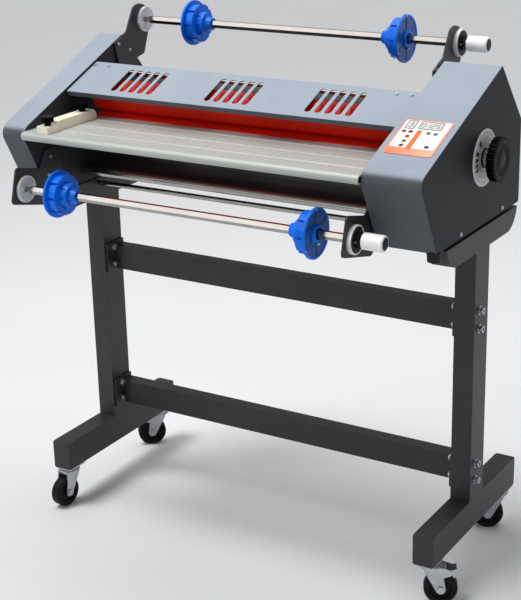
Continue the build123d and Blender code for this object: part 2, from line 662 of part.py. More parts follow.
CORE_ENDS = (LEFT_INNER - PLATE - BEARING_WIDTH, GEAR_RIGHT + 1)
SLEEVE_GLUE = 0.1
for place, axis_z in (("upper", UPPER_Z), ("lower", LOWER_Z)):
    axis = (ROLLER_Y, axis_z)
    with BuildPart() as core:
        rod_x(ROLLER_LEFT, ROLLER_RIGHT, axis, CORE_RADIUS)
        rod_x(CORE_ENDS[0], CORE_ENDS[1], axis, JOURNAL_RADIUS)
        for shoulder in (ROLLER_LEFT - 8, ROLLER_RIGHT + 8):
            rod_x(shoulder, ROLLER_LEFT if shoulder < 0 else ROLLER_RIGHT, axis, 16)
    core.part.label = f"{place}_roller_core"
    export_step(core.part, f"parts/{place}_roller_core.step")

    with BuildPart() as sleeve:
        rod_x(ROLLER_LEFT, ROLLER_RIGHT, axis, ROLLER_RADIUS)
        fillet(sleeve.edges().filter_by(GeomType.CIRCLE), 1.5)
        rod_x(ROLLER_LEFT, ROLLER_RIGHT, axis, CORE_RADIUS + SLEEVE_GLUE, Mode.SUBTRACT)
    sleeve.part.label = f"{place}_roller_sleeve"
    export_step(sleeve.part, f"parts/{place}_roller_sleeve.step")

    with BuildPart() as pull_roller:
        pull_axis = (PULL_Y, NIP_Z + (PULL_SPACING if place == "upper" else -PULL_SPACING))
        rod_x(ROLLER_LEFT, ROLLER_RIGHT, pull_axis, PULL_RADIUS)
        rod_x(CORE_ENDS[0], RIGHT_INNER + PLATE + 20, pull_axis, PULL_JOURNAL)
    pull_roller.part.label = f"pull_roller_{place}"
    export_step(pull_roller.part, f"parts/pull_roller_{place}.step")

# A tooth of the lower gear points at each neighbour, so the neighbours show it a gap.
GEARS = {
    "upper_roller_gear": ((ROLLER_Y, UPPER_Z), GEAR_TEETH, 90 + 180 / GEAR_TEETH, JOURNAL_RADIUS),
    "lower_roller_gear": ((ROLLER_Y, LOWER_Z), GEAR_TEETH, 90, JOURNAL_RADIUS),
}
for node, (axis, teeth, turn, bore) in GEARS.items():
    with BuildPart() as gear:
        with BuildSketch(Plane.YZ.offset(GEAR_LEFT)):
            with Locations(axis):
                add(gear_outline(teeth, turn))
                Circle(bore + BEARING_GAP, mode=Mode.SUBTRACT)
        extrude(amount=GEAR_RIGHT - GEAR_LEFT)
    gear.part.label = node
    export_step(gear.part, f"parts/{node}.step")

PINION_AXIS = (ROLLER_Y, PINION_Z)
with BuildPart() as motor_pinion:
    with BuildSketch(Plane.YZ.offset(GEAR_LEFT)):
        with Locations(PINION_AXIS):
            add(gear_outline(PINION_TEETH, 90 + 180 / PINION_TEETH))
    extrude(amount=GEAR_RIGHT - GEAR_LEFT)
    rod_x(GEAR_LEFT - 2, 374, PINION_AXIS, 5)
motor_pinion.part.label = "motor_pinion"
export_step(motor_pinion.part, "parts/motor_pinion.step")

GEARBOX_LEFT = 366.0
with BuildPart() as gear_motor:
    block((GEARBOX_LEFT, ROLLER_Y - 30, PINION_Z - 30), (GEARBOX_LEFT + 26, ROLLER_Y + 30, PINION_Z + 30))
    rod_x(GEARBOX_LEFT + 26, 430, PINION_AXIS, 24)
    block((GEARBOX_LEFT, ROLLER_Y - 48, PINION_Z - 42), (GEARBOX_LEFT + 4, ROLLER_Y + 48, PINION_Z - 12))
    for side in (-1, 1):
        rod_x(RIGHT_INNER + PLATE, GEARBOX_LEFT, (ROLLER_Y + side * 42, PINION_Z - 27), 4.5)
    rod_x(GEARBOX_LEFT, 375, PINION_AXIS, 5 + BEARING_GAP, Mode.SUBTRACT)
gear_motor.part.label = "gear_motor"
export_step(gear_motor.part, "parts/gear_motor.step")

# ---------------------------------------------------------------- pressure control


def cam_outline():
    """Heart cam: the radius under the follower grows evenly over half a turn."""
    def rim(degrees):
        radius = CAM_LOW + LIFT * abs(degrees) / 180
        return (radius * sin(radians(degrees)), radius * cos(radians(degrees)))

    with BuildSketch() as outline:
        with BuildLine():
            Spline([rim(degrees) for degrees in range(0, 181, 15)])
            Spline([rim(degrees) for degrees in range(-180, 1, 15)])
        make_face()
    return outline.sketch


with BuildPart() as cam_shaft:
    rod_x(BEARING_ENDS[-1][0], KNOB_RIGHT - 4, (CAM_Y, CAM_Z), CAM_SHAFT_RADIUS)
    for ends in BEARING_ENDS.values():
        with BuildSketch(Plane.YZ.offset(ends[0] + 2)):
            with Locations((CAM_Y, CAM_Z)):
                add(cam_outline())
        extrude(amount=12)
cam_shaft.part.label = "cam_shaft"
export_step(cam_shaft.part, "parts/cam_shaft.step")

with BuildPart() as pressure_knob:
    with BuildSketch(Plane.YZ.offset(KNOB_LEFT)):
        with Locations((CAM_Y, CAM_Z)):
            Circle(KNOB_RADIUS)
            with PolarLocations(KNOB_RADIUS + 2.6, 24):
                Circle(4, mode=Mode.SUBTRACT)
    extrude(amount=KNOB_RIGHT - KNOB_LEFT)
    rod_x(KNOB_LEFT - 6, KNOB_LEFT, (CAM_Y, CAM_Z), 11)
    rod_x(KNOB_LEFT - 6, KNOB_RIGHT - 3.9, (CAM_Y, CAM_Z), CAM_SHAFT_RADIUS + BEARING_GAP, Mode.SUBTRACT)
pressure_knob.part.label = "pressure_knob"
export_step(pressure_knob.part, "parts/pressure_knob.step")

with BuildPart() as pressure_scale:
    rod_x(RIGHT_OUTER, RIGHT_OUTER + 1.5, (CAM_Y, CAM_Z), 51)
    rod_x(RIGHT_OUTER, RIGHT_OUTER + 10, (CAM_Y, CAM_Z), 14)
    rod_x(RIGHT_OUTER - SHEET - 4, RIGHT_OUTER, (CAM_Y, CAM_Z), 7.8)
    rod_x(RIGHT_OUTER - 20, RIGHT_OUTER + 20, (CAM_Y, CAM_Z), CAM_SHAFT_RADIUS + BEARING_GAP, Mode.SUBTRACT)
pressure_scale.part.label = "pressure_scale"
export_step(pressure_scale.part, "parts/pressure_scale.step")

# ---------------------------------------------------------------- supply shafts

BRACKET_HOLE = 9.0
JOURNAL_LEFT = 5.0
JOURNAL_RIGHT = 7.0
RIGHT_DISC = 7.0              # thickness of the disc outside each right bracket
RIGHT_COLLAR = 7.0            # and of the collar inside it

with BuildPart() as shaft_brackets:
    for plate_x, inward in ((LEFT_INNER, 1), (RIGHT_BRACKET + BRACKET, -1)):
        with BuildSketch(Plane.YZ.offset(plate_x)):
            with BuildLine():
                Polyline((162, 972), (150.6, 943), (136.5, 908.7), (111.6, 903.5), (118, 886), (50, 890))
                Polyline((50, 890), (39.6, 931), (38, 944), (61, 954), (80, 962), (92, 983), (106, 1006))
                ThreePointArc((106, 1006), (143, 1007), (162, 972))
            make_face()
            for screw in WALL_SCREWS[:2]:
                with Locations(screw):
                    Circle(2.1, mode=Mode.SUBTRACT)
            with Locations(SHAFT_AXES["upper"]):
                Circle(BRACKET_HOLE, mode=Mode.SUBTRACT)
        extrude(amount=inward * BRACKET)
        with BuildSketch(Plane.YZ.offset(plate_x)) as low_bracket:
            Polygon((-309, 695), (-206, 669), (-170, 690), (-150, 727),
                    (-172, 778), (-206, 778), (-222, 745.5), (-290, 763))
            fillet(low_bracket.vertices(), 8)
            for screw in WALL_SCREWS[2:]:
                with Locations(screw):
                    Circle(2.1, mode=Mode.SUBTRACT)
            with Locations(SHAFT_AXES["lower"]):
                Circle(BRACKET_HOLE, mode=Mode.SUBTRACT)
        extrude(amount=inward * BRACKET)
    # Spacers that hold the right plates off the cabinet wall.
    for screw in WALL_SCREWS:
        rod_x(RIGHT_BRACKET + BRACKET, RIGHT_INNER, screw, 7)
        rod_x(RIGHT_BRACKET, RIGHT_INNER, screw, 2.1, Mode.SUBTRACT)
shaft_brackets.part.label = "shaft_brackets"
export_step(shaft_brackets.part, "parts/shaft_brackets.step")

left_seat = LEFT_INNER + BRACKET
right_collar = RIGHT_BRACKET - RIGHT_COLLAR
right_disc = RIGHT_BRACKET + BRACKET
with BuildPart() as shaft_seats:
    for axis in SHAFT_AXES.values():
        # Left: an open seat that the shaft's plain end drops into from the front.
        rod_x(left_seat, left_seat + 5, axis, SEAT_RADIUS)
        block(
            (left_seat + 1, axis[0] - SEAT_RADIUS - 1, axis[1] - JOURNAL_LEFT - BEARING_GAP),
            (left_seat + 5, axis[0], axis[1] + JOURNAL_LEFT + BEARING_GAP),
            Mode.SUBTRACT,
        )
        rod_x(left_seat + 1, left_seat + 5, axis, JOURNAL_LEFT + BEARING_GAP, Mode.SUBTRACT)
        # Right: a bush through the bracket, with a disc outside it and a collar inside.
        rod_x(right_disc, right_disc + RIGHT_DISC, axis, SEAT_RADIUS)
        rod_x(right_collar, RIGHT_BRACKET, axis, 16.6)
        rod_x(right_collar, right_disc, axis, BRACKET_HOLE - BEARING_GAP)
        rod_x(right_collar, right_disc + RIGHT_DISC, axis, JOURNAL_RIGHT + BEARING_GAP, Mode.SUBTRACT)
shaft_seats.part.label = "shaft_seats"
export_step(shaft_seats.part, "parts/shaft_seats.step")

KNOB_INNER = 337.0
KNOB_OUTER = 376.0
for place, axis in SHAFT_AXES.items():
    with BuildPart() as supply_shaft:
        with BuildSketch(Plane.YZ.offset(HEX_LEFT)):
            with Locations(axis):
                RegularPolygon(HEX_ACROSS / 2, 6, major_radius=False)
        extrude(amount=HEX_RIGHT - HEX_LEFT)
        rod_x(left_seat + 1.3, HEX_LEFT, axis, JOURNAL_LEFT)
        rod_x(HEX_RIGHT, KNOB_INNER - 2, axis, JOURNAL_RIGHT)
        rod_x(KNOB_INNER - 2, KNOB_OUTER - 8, axis, 5)
    supply_shaft.part.label = f"{place}_supply_shaft"
    export_step(supply_shaft.part, f"parts/{place}_supply_shaft.step")

    with BuildPart() as tension_knob:
        rod_x(KNOB_INNER, KNOB_OUTER, axis, 14.5)
        fillet(tension_knob.edges().filter_by(GeomType.CIRCLE).sort_by(Axis.X)[-1], 3)
        rod_x(KNOB_INNER, KNOB_OUTER - 7, axis, 5 + BEARING_GAP, Mode.SUBTRACT)
    tension_knob.part.label = f"{place}_tension_knob"
    export_step(tension_knob.part, f"parts/{place}_tension_knob.step")

# Stepped chucks for 76, 50 and 25 mm cores: (distance from the flange's face, radius).
CHUCK_STEPS = [(0, CHUCK_FLANGE), (4, CHUCK_FLANGE), (4, CHUCK_DRUM), (22, CHUCK_DRUM), (22, 25), (35, 22),
               (35, 15), (CHUCK_LENGTH, 12)]
for name, (place, flange_x, tip) in CHUCKS.items():
    axis = SHAFT_AXES[place]
    with BuildPart() as chuck:
        with BuildSketch(Plane(origin=(flange_x, axis[0], axis[1]))):
            with BuildLine():
                steps = [(tip * distance, radius) for distance, radius in CHUCK_STEPS]
                Polyline([(0, 0)] + steps + [(tip * CHUCK_LENGTH, 0)], close=True)
            make_face()
        revolve(axis=along_x(axis))
        with BuildSketch(Plane.YZ.offset(flange_x)):
            with Locations(axis):
                RegularPolygon(HEX_ACROSS / 2 + 0.1, 6, major_radius=False)
        extrude(amount=tip * (CHUCK_LENGTH + 1), mode=Mode.SUBTRACT)
        with BuildSketch(Plane.YZ.offset(flange_x + tip * 4)):
            with Locations(axis):
                with PolarLocations(CHUCK_DRUM - 1.5, 8):
                    Rectangle(5, 5)
        extrude(amount=tip * 18.5, mode=Mode.SUBTRACT)
        with BuildSketch(Plane.YZ.offset(flange_x + tip * 22)):
            with Locations(axis):
                with PolarLocations(25, 8):
                    Rectangle(5, 4)
        extrude(amount=tip * 13.5, mode=Mode.SUBTRACT)
    chuck.part.label = f"core_chuck_{name}"
    export_step(chuck.part, f"parts/core_chuck_{name}.step")

# ---------------------------------------------------------------- side guide

GUIDE_BOTTOM = TABLE_TOP + 0.1
GUIDE_TOP = 844.0
GUIDE_STEP = 838.5            # top of the lower front end
# X and Y of each stud, and the height it stands on
GUIDE_KNOBS = {
    "guide_knob_front": (-346.0, -241.0, GUIDE_STEP),
    "guide_knob_rear": (-347.0, -134.0, GUIDE_TOP),
}
STUD_RADIUS = 3.0
STUD_LENGTH = 12.0

with BuildPart() as side_guide:
    block((-360, -258, GUIDE_BOTTOM), (-333, -225, GUIDE_STEP))
    block((-360, -226, GUIDE_BOTTOM), (-335, -106, GUIDE_TOP))
    chamfer(side_guide.faces().sort_by(Axis.Z)[-1].edges().sort_by(Axis.Y)[-1], 7)
    fillet(side_guide.edges().filter_by(Axis.Z).sort_by(Axis.Y)[:2], 2)
    for groove in GROOVES:
        block((-358, groove - 0.7, TABLE_TOP - 0.9), (-347, groove + 0.7, GUIDE_BOTTOM + 1))
    for stud_x, stud_y, base in GUIDE_KNOBS.values():
        with Locations((stud_x, stud_y, base + STUD_LENGTH / 2)):
            Cylinder(STUD_RADIUS, STUD_LENGTH)
side_guide.part.label = "side_guide"
export_step(side_guide.part, "parts/side_guide.step")

for node, (stud_x, stud_y, base) in GUIDE_KNOBS.items():
    with BuildPart() as guide_knob:
        with BuildSketch(Plane(origin=(stud_x, stud_y, base + 0.2))):
            Circle(6.5)
        extrude(amount=7.8)
        with BuildSketch(Plane(origin=(stud_x, stud_y, base + 7))):
            Circle(12)
            with PolarLocations(13.2, 12):
                Circle(2.2, mode=Mode.SUBTRACT)
        extrude(amount=10)
        with BuildSketch(Plane(origin=(stud_x, stud_y, base))):
            Circle(STUD_RADIUS + BEARING_GAP)
        extrude(amount=STUD_LENGTH + 0.3, mode=Mode.SUBTRACT)
    guide_knob.part.label = node
    export_step(guide_knob.part, f"parts/{node}.step")

# ---------------------------------------------------------------- controls

PANEL_LEFT = 334.0
PANEL_RIGHT = 423.0
PANEL_FRONT = 70.0            # distances up the slope
PANEL_REAR = 171.2
PANEL_THICK = 1.0
KEYS = [(345, 135), (357.5, 135), (357.4, 121), (357.4, 107.4), (357.7, 94.7), (390.3, 135), (403.7, 134.4)]

with BuildPart() as control_panel:
    with BuildSketch(SLOPE_PLANE):
        with Locations(((PANEL_LEFT + PANEL_RIGHT) / 2, (PANEL_FRONT + PANEL_REAR) / 2)):
            RectangleRounded(PANEL_RIGHT - PANEL_LEFT, PANEL_REAR - PANEL_FRONT, 4)
    extrude(amount=PANEL_THICK)
    with BuildSketch(SLOPE_PLANE.offset(PANEL_THICK)):
        for key in KEYS:
            with Locations(key):
                Circle(4.2)
    extrude(amount=0.5, taper=30)
control_panel.part.label = "control_panel"
export_step(control_panel.part, "parts/control_panel.step")

SWITCH_X = 362.0
PLUG_X = 400.0
with BuildPart() as mains_inlet:
    block((INLET_LEFT, BACK, INLET_Z - 22), (INLET_RIGHT, BACK + 2, INLET_Z + 22))
    block((INLET_LEFT + 5, BACK - 24, INLET_Z - 17), (INLET_RIGHT - 5, BACK, INLET_Z + 17))
    for hole_x, half_width, half_height, depth in ((PLUG_X, 12.3, 8.3, 16), (SWITCH_X, 7.4, 11.5, 17)):
        block(
            (hole_x - half_width, BACK - depth, INLET_Z - half_height),
            (hole_x + half_width, BACK + 3, INLET_Z + half_height),
            Mode.SUBTRACT,
        )
    for pin_x, pin_z in ((-7, -2), (0, 2), (7, -2)):
        pin = (PLUG_X + pin_x, INLET_Z + pin_z)
        block((pin[0] - 1, BACK - 16, pin[1] - 2), (pin[0] + 1, BACK - 2, pin[1] + 2))
mains_inlet.part.label = "mains_inlet"
export_step(mains_inlet.part, "parts/mains_inlet.step")

ROCKER_Y = BACK - 5
ROCKER_TILT = 7.0
rocker_plane = Plane(
    origin=(SWITCH_X, ROCKER_Y, INLET_Z),
    x_dir=(0, cos(radians(ROCKER_TILT)), -sin(radians(ROCKER_TILT))),
    z_dir=(1, 0, 0),
)
with BuildPart() as power_switch:
    with BuildSketch(rocker_plane):
        Rectangle(15, 18)
    extrude(amount=7, both=True)
    rod_x(SWITCH_X - 7.3, SWITCH_X + 7.3, (ROCKER_Y, INLET_Z), 2)
power_switch.part.label = "power_switch"
export_step(power_switch.part, "parts/power_switch.step")
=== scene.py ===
"""Looks of a cold roll laminator on a castor stand: materials, printed details, light and camera."""
import json
import math

import bmesh
import bpy
from mathutils import Matrix, Vector


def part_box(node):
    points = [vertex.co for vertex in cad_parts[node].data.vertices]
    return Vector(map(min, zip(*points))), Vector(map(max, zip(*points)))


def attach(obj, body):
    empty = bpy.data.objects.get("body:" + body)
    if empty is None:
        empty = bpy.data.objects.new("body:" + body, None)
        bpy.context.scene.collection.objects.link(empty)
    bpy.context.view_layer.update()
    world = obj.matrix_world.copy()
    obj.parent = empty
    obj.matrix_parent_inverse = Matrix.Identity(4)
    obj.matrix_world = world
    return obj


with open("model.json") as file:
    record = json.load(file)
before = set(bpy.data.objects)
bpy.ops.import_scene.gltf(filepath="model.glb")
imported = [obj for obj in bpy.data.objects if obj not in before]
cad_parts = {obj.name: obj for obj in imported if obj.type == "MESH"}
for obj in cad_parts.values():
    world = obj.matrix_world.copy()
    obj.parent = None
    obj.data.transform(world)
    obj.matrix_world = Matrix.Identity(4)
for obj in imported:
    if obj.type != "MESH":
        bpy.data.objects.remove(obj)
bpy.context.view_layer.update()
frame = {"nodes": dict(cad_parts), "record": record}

X, Y, Z = Vector((1, 0, 0)), Vector((0, 1, 0)), Vector((0, 0, 1))
MM = 0.001


# ---------------------------------------------------------------- materials


def new_material(name):
    """A material with only its principled shader and its output, and the tree that holds them."""
    made = bpy.data.materials.new(name)
    made.use_nodes = True
    return made, made.node_tree, made.node_tree.nodes["Principled BSDF"]


def noise(tree, scale, detail=3.0, stretch=(1, 1, 1)):
    """Noise in the row frame, in features per metre, squeezed along the axes by stretch."""
    coord = tree.nodes.new("ShaderNodeTexCoord")
    mapping = tree.nodes.new("ShaderNodeMapping")
    mapping.inputs["Scale"].default_value = stretch
    texture = tree.nodes.new("ShaderNodeTexNoise")
    texture.inputs["Scale"].default_value = scale
    texture.inputs["Detail"].default_value = detail
    tree.links.new(coord.outputs["Object"], mapping.inputs["Vector"])
    tree.links.new(mapping.outputs["Vector"], texture.inputs["Vector"])
    return texture.outputs["Fac"]


def spread(tree, value, low, high, start=0.3, end=0.7):
    """Maps a value from start..end to low..high, held at both ends."""
    node = tree.nodes.new("ShaderNodeMapRange")
    node.inputs["From Min"].default_value = start
    node.inputs["From Max"].default_value = end
    node.inputs["To Min"].default_value = low
    node.inputs["To Max"].default_value = high
    tree.links.new(value, node.inputs["Value"])
    return node.outputs["Result"]


def two_tone(tree, value, dark, light, start=0.3, end=0.7):
    """A colour ramp from dark to light."""
    ramp = tree.nodes.new("ShaderNodeValToRGB")
    ramp.color_ramp.elements[0].position = start
    ramp.color_ramp.elements[1].position = end
    ramp.color_ramp.elements[0].color = (*dark, 1)
    ramp.color_ramp.elements[1].color = (*light, 1)
    tree.links.new(value, ramp.inputs["Fac"])
    return ramp.outputs["Color"]


def mixed(tree, share, first, second):
    """One colour over another by share."""
    node = tree.nodes.new("ShaderNodeMix")
    node.data_type = "RGBA"
    tree.links.new(share, node.inputs["Factor"])
    tree.links.new(first, node.inputs["A"])
    tree.links.new(second, node.inputs["B"])
    return node.outputs["Result"]


def scaled(color, factor):
    """A colour made lighter or darker."""
    return tuple(min(1.0, c * factor) for c in color)


def relief(tree, shader, height, strength, depth, edge=0.0):
    """Fine bumps, on edges that look rounded by edge metres."""
    bump = tree.nodes.new("ShaderNodeBump")
    bump.inputs["Strength"].default_value = strength
    bump.inputs["Distance"].default_value = depth
    tree.links.new(height, bump.inputs["Height"])
    if edge:
        bevel = tree.nodes.new("ShaderNodeBevel")
        bevel.samples = 4
        bevel.inputs["Radius"].default_value = edge
        tree.links.new(bevel.outputs["Normal"], bump.inputs["Normal"])
    tree.links.new(bump.outputs["Normal"], shader.inputs["Normal"])


def surface(name, color, rough, vary=0.15, patch=14, grain=900, strength=0.25, depth=0.0003,
            stretch=(1, 1, 1), edge=0.0, rough_vary=0.08, **sockets):
    """A finish: mottled colour, uneven roughness and fine relief. Other sockets keep one value."""
    made, tree, shader = new_material(name)
    cloud = noise(tree, patch, 4.0, stretch)
    fine = noise(tree, grain, 3.0, stretch)
    tone = two_tone(tree, cloud, scaled(color, 1 - vary), scaled(color, 1 + vary))
    tree.links.new(tone, shader.inputs["Base Color"])
    uneven = spread(tree, fine, max(0.03, rough - rough_vary), rough + rough_vary)
    tree.links.new(uneven, shader.inputs["Roughness"])
    relief(tree, shader, fine, strength, depth, edge)
    for socket, value in sockets.items():
        shader.inputs[socket.replace("_", " ")].default_value = value
    return made


def cabinet_paint():
    """Powder coat, toned by which way each face points: pale blue-grey on faces that look up; grey
    below, which is painted shade; darkest on the outer sides, partly darker side paint and partly
    painted shade.
    """
    made, tree, shader = new_material("cabinet_paint")
    cloud = noise(tree, 7, 3.0)
    fine = noise(tree, 1300, 2.0)
    pale = two_tone(tree, cloud, (0.285, 0.325, 0.385), (0.325, 0.37, 0.43))
    # Grey: painted shade on faces that do not look up, front faces under the knee and inner sides
    # included.
    grey = two_tone(tree, cloud, (0.078, 0.088, 0.097), (0.094, 0.105, 0.115))
    # Near black: the darker outer-side paint, deepened with painted shade.
    dark = two_tone(tree, cloud, (0.007, 0.008, 0.010), (0.011, 0.013, 0.015))
    geometry = tree.nodes.new("ShaderNodeNewGeometry")
    split = tree.nodes.new("ShaderNodeSeparateXYZ")
    tree.links.new(geometry.outputs["Normal"], split.inputs["Vector"])
    facing_up = spread(tree, split.outputs["Z"], 0.0, 1.0, 0.45, 0.75)
    sideways = tree.nodes.new("ShaderNodeMath")
    sideways.operation = "ABSOLUTE"
    tree.links.new(split.outputs["X"], sideways.inputs[0])
    facing_side = spread(tree, sideways.outputs["Value"], 0.0, 1.0, 0.5, 0.8)
    coord = tree.nodes.new("ShaderNodeTexCoord")
    place = tree.nodes.new("ShaderNodeSeparateXYZ")
    tree.links.new(coord.outputs["Object"], place.inputs["Vector"])
    away = tree.nodes.new("ShaderNodeMath")
    away.operation = "ABSOLUTE"
    tree.links.new(place.outputs["X"], away.inputs[0])
    outer = tree.nodes.new("ShaderNodeMath")
    outer.operation = "MULTIPLY"
    tree.links.new(facing_side, outer.inputs[0])
    tree.links.new(spread(tree, away.outputs["Value"], 0.0, 1.0, 0.385, 0.395), outer.inputs[1])
    # Painted shade on the faces that do not look up, darkest on the outer sides.
    painted_shade_tone = mixed(tree, outer.outputs["Value"], grey, dark)
    tree.links.new(mixed(tree, facing_up, painted_shade_tone, pale), shader.inputs["Base Color"])
    tree.links.new(spread(tree, fine, 0.42, 0.60), shader.inputs["Roughness"])
    relief(tree, shader, fine, 0.22, 0.0003, edge=0.0012)
    shader.inputs["Specular IOR Level"].default_value = 0.2
    return made


def printed_film():
    """Membrane panel film: orange print that fades to salmon towards the right end."""
    made, tree, shader = new_material("panel_film")
    low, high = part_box("control_panel")
    coord = tree.nodes.new("ShaderNodeTexCoord")
    split = tree.nodes.new("ShaderNodeSeparateXYZ")
    tree.links.new(coord.outputs["Object"], split.inputs["Vector"])
    tone = two_tone(tree, spread(tree, split.outputs["X"], 0.0, 1.0, low.x, high.x),
                    (0.80, 0.13, 0.012), (0.83, 0.34, 0.20), 0.1, 0.95)
    fine = noise(tree, 1600, 2.0)
    tree.links.new(tone, shader.inputs["Base Color"])
    tree.links.new(spread(tree, fine, 0.24, 0.38), shader.inputs["Roughness"])
    relief(tree, shader, fine, 0.1, 0.0002)
    shader.inputs["Coat Weight"].default_value = 0.3
    return made


def lathe_marks(name, color, rough, **sockets):
    """Turned or drawn metal: rings round X, fine lines along it."""
    return surface(name, color, rough, vary=0.06, patch=6, grain=160, strength=0.05, depth=0.0001,
                   stretch=(6, 1, 1), rough_vary=0.05, Metallic=1.0, **sockets)


CHARCOAL = (0.028, 0.027, 0.030)
MATERIALS = {
    "stand_paint": surface("stand_paint", CHARCOAL, 0.42, vary=0.12, patch=9, grain=1100,
                           strength=0.3, edge=0.001, Specular_IOR_Level=0.35),
    "cabinet_paint": cabinet_paint(),
    "zinc": surface("zinc", (0.48, 0.49, 0.52), 0.30, vary=0.12, patch=55, grain=700,
                    strength=0.12, edge=0.0006, Metallic=1.0),
    # Chrome darkened and warmed towards brown: a painted reflection of dark, brownish surroundings on
    # top of the chrome's own colour.
    "chrome": lathe_marks("chrome", (0.38, 0.36, 0.335), 0.16),
    "steel": lathe_marks("steel", (0.48, 0.48, 0.50), 0.28),
    "wheel_rubber": surface("wheel_rubber", (0.008, 0.008, 0.009), 0.55, vary=0.3, patch=60,
                            grain=1500, strength=0.4, Specular_IOR_Level=0.12),
    "foot_rubber": surface("foot_rubber", (0.02, 0.02, 0.02), 0.66, vary=0.3, patch=70,
                           grain=1500, strength=0.4, Specular_IOR_Level=0.2),
    "silicone_red": surface("silicone_red", (0.80, 0.016, 0.002), 0.36, vary=0.12, patch=10,
                            grain=900, strength=0.12, stretch=(0.25, 1, 1), Specular_IOR_Level=0.15),
    "rubber_black": surface("rubber_black", (0.022, 0.022, 0.024), 0.5, vary=0.25, patch=20,
                            grain=1100, strength=0.2, stretch=(0.3, 1, 1), Specular_IOR_Level=0.3),
    "table_aluminium": surface("table_aluminium", (0.455, 0.475, 0.445), 0.36, vary=0.045, patch=30,
                               grain=700, strength=0.14, stretch=(0.05, 1, 1), edge=0.0006,
                               Metallic=0.15),
    "tray_paint": surface("tray_paint", (0.012, 0.014, 0.017), 0.40, vary=0.2, patch=12,
                          grain=1200, strength=0.2, edge=0.0008, Specular_IOR_Level=0.3),
    "plastic_black": surface("plastic_black", (0.002, 0.002, 0.002), 0.34, vary=0.25, patch=50,
                             grain=1700, strength=0.2, Specular_IOR_Level=0.04),
    "plastic_blue": surface("plastic_blue", (0.0003, 0.155, 0.80), 0.30, vary=0.2, patch=35,
                            grain=1200, strength=0.12, edge=0.0008, Specular_IOR_Level=0.22),
    "plastic_white": surface("plastic_white", (0.94, 0.94, 0.94), 0.36, vary=0.05, patch=40,
                             grain=1300, strength=0.1, edge=0.0006),
    "plastic_ivory": surface("plastic_ivory", (0.86, 0.82, 0.66), 0.40, vary=0.06, patch=30,
                             grain=1200, strength=0.14, edge=0.0008),
    "panel_film": printed_film(),
    "scale_print": surface("scale_print", (0.56, 0.57, 0.59), 0.34, vary=0.06, patch=30,
                           grain=1400, strength=0.08, edge=0.0005),
    "bearing_iron": surface("bearing_iron", (0.28, 0.28, 0.29), 0.36, vary=0.15, patch=60,
                            grain=800, strength=0.2, Metallic=1.0),
    "motor_metal": surface("motor_metal", (0.30, 0.31, 0.33), 0.46, vary=0.15, patch=60,
                           grain=900, strength=0.3, Metallic=0.8),
}


def ink(name, color, rough=0.4, vary=0.1):
    """A printed or moulded colour for a small detail."""
    return surface(name, color, rough, vary, patch=120, grain=2200, strength=0.06,
                   Specular_IOR_Level=0.12)


INK_WHITE = ink("ink_white", (0.78, 0.78, 0.77), 0.32, 0.04)
INK_BLACK = ink("ink_black", (0.005, 0.005, 0.005))
INK_GREY = ink("ink_grey", (0.12, 0.12, 0.13))
INK_ORANGE = ink("ink_orange", (0.82, 0.16, 0.03))
WINDOW = ink("display_window", (0.60, 0.60, 0.56), 0.14, 0.05)
DIGIT = ink("display_digit", (0.20, 0.14, 0.15), 0.2)
KEY_COLOURS = {
    "stop": ink("key_stop", (0.12, 0.006, 0.006)),
    "run": ink("key_run", (0.035, 0.006, 0.04)),
    "reverse": ink("key_reverse", (0.26, 0.03, 0.02)),
    "slower": ink("key_slower", (0.10, 0.09, 0.015)),
    "faster": ink("key_faster", (0.02, 0.02, 0.02)),
    "minus": ink("key_minus", (0.05, 0.12, 0.13)),
    "plus": ink("key_plus", (0.05, 0.12, 0.13)),
}
SEAT_GREY = ink("seat_grey", (0.66, 0.665, 0.67), 0.4)
SEAT_DARK = ink("seat_dark", (0.03, 0.03, 0.032), 0.4)
# Near-white strips on the table's groove edges: a painted highlight where the edges catch the light.
GROOVE_HIGHLIGHT_PAINT = surface("groove_painted_highlight", (0.90, 0.91, 0.86), 0.3, vary=0.06, patch=60, grain=900,
                       strength=0.05, stretch=(0.1, 1, 1), Metallic=0.3)
HUB_BLUE = surface("hub_blue", (0.0005, 0.20, 0.88), 0.26, vary=0.15, patch=60, grain=1500,
                   strength=0.1, Specular_IOR_Level=0.3)
# A darker copy of the chuck blue: painted shade for the hollow of each chuck face and the ribs in it.
CHUCK_SHADE_BLUE = surface("chuck_painted_shade_blue", (0.0005, 0.080, 0.40), 0.34, vary=0.25, patch=45, grain=1500,
                      strength=0.12)
BRASS = lathe_marks("brass", (0.62, 0.47, 0.22), 0.25)

for part in frame["record"]["subparts"]:
    meshes = frame["nodes"][part["node"]].data
    meshes.materials.clear()
    meshes.materials.append(MATERIALS[part["material_slot"]])


# ---------------------------------------------------------------- mesh tools


def in_mm(points):
    """Points given in millimetres, in metres."""
    return [(a * MM, b * MM) for a, b in points]


def placed(origin, u, v):
    """A flat frame at origin: u and v across it, and w out of it."""
    w = u.cross(v)
    rows = ((u[i], v[i], w[i], origin[i]) for i in range(3))
    return Matrix((*rows, (0, 0, 0, 1)))


def extrude(mesh, outline, height, place, base=0.0):
    """A closed slab with that outline, from base to height along the frame's w."""
    low = [mesh.verts.new(place @ Vector((a, b, base))) for a, b in outline]
    high = [mesh.verts.new(place @ Vector((a, b, height))) for a, b in outline]
    mesh.faces.new(list(reversed(low)))
    mesh.faces.new(high)
    for i, j in zip(range(len(outline)), [*range(1, len(outline)), 0]):
        mesh.faces.new((low[i], low[j], high[j], high[i]))


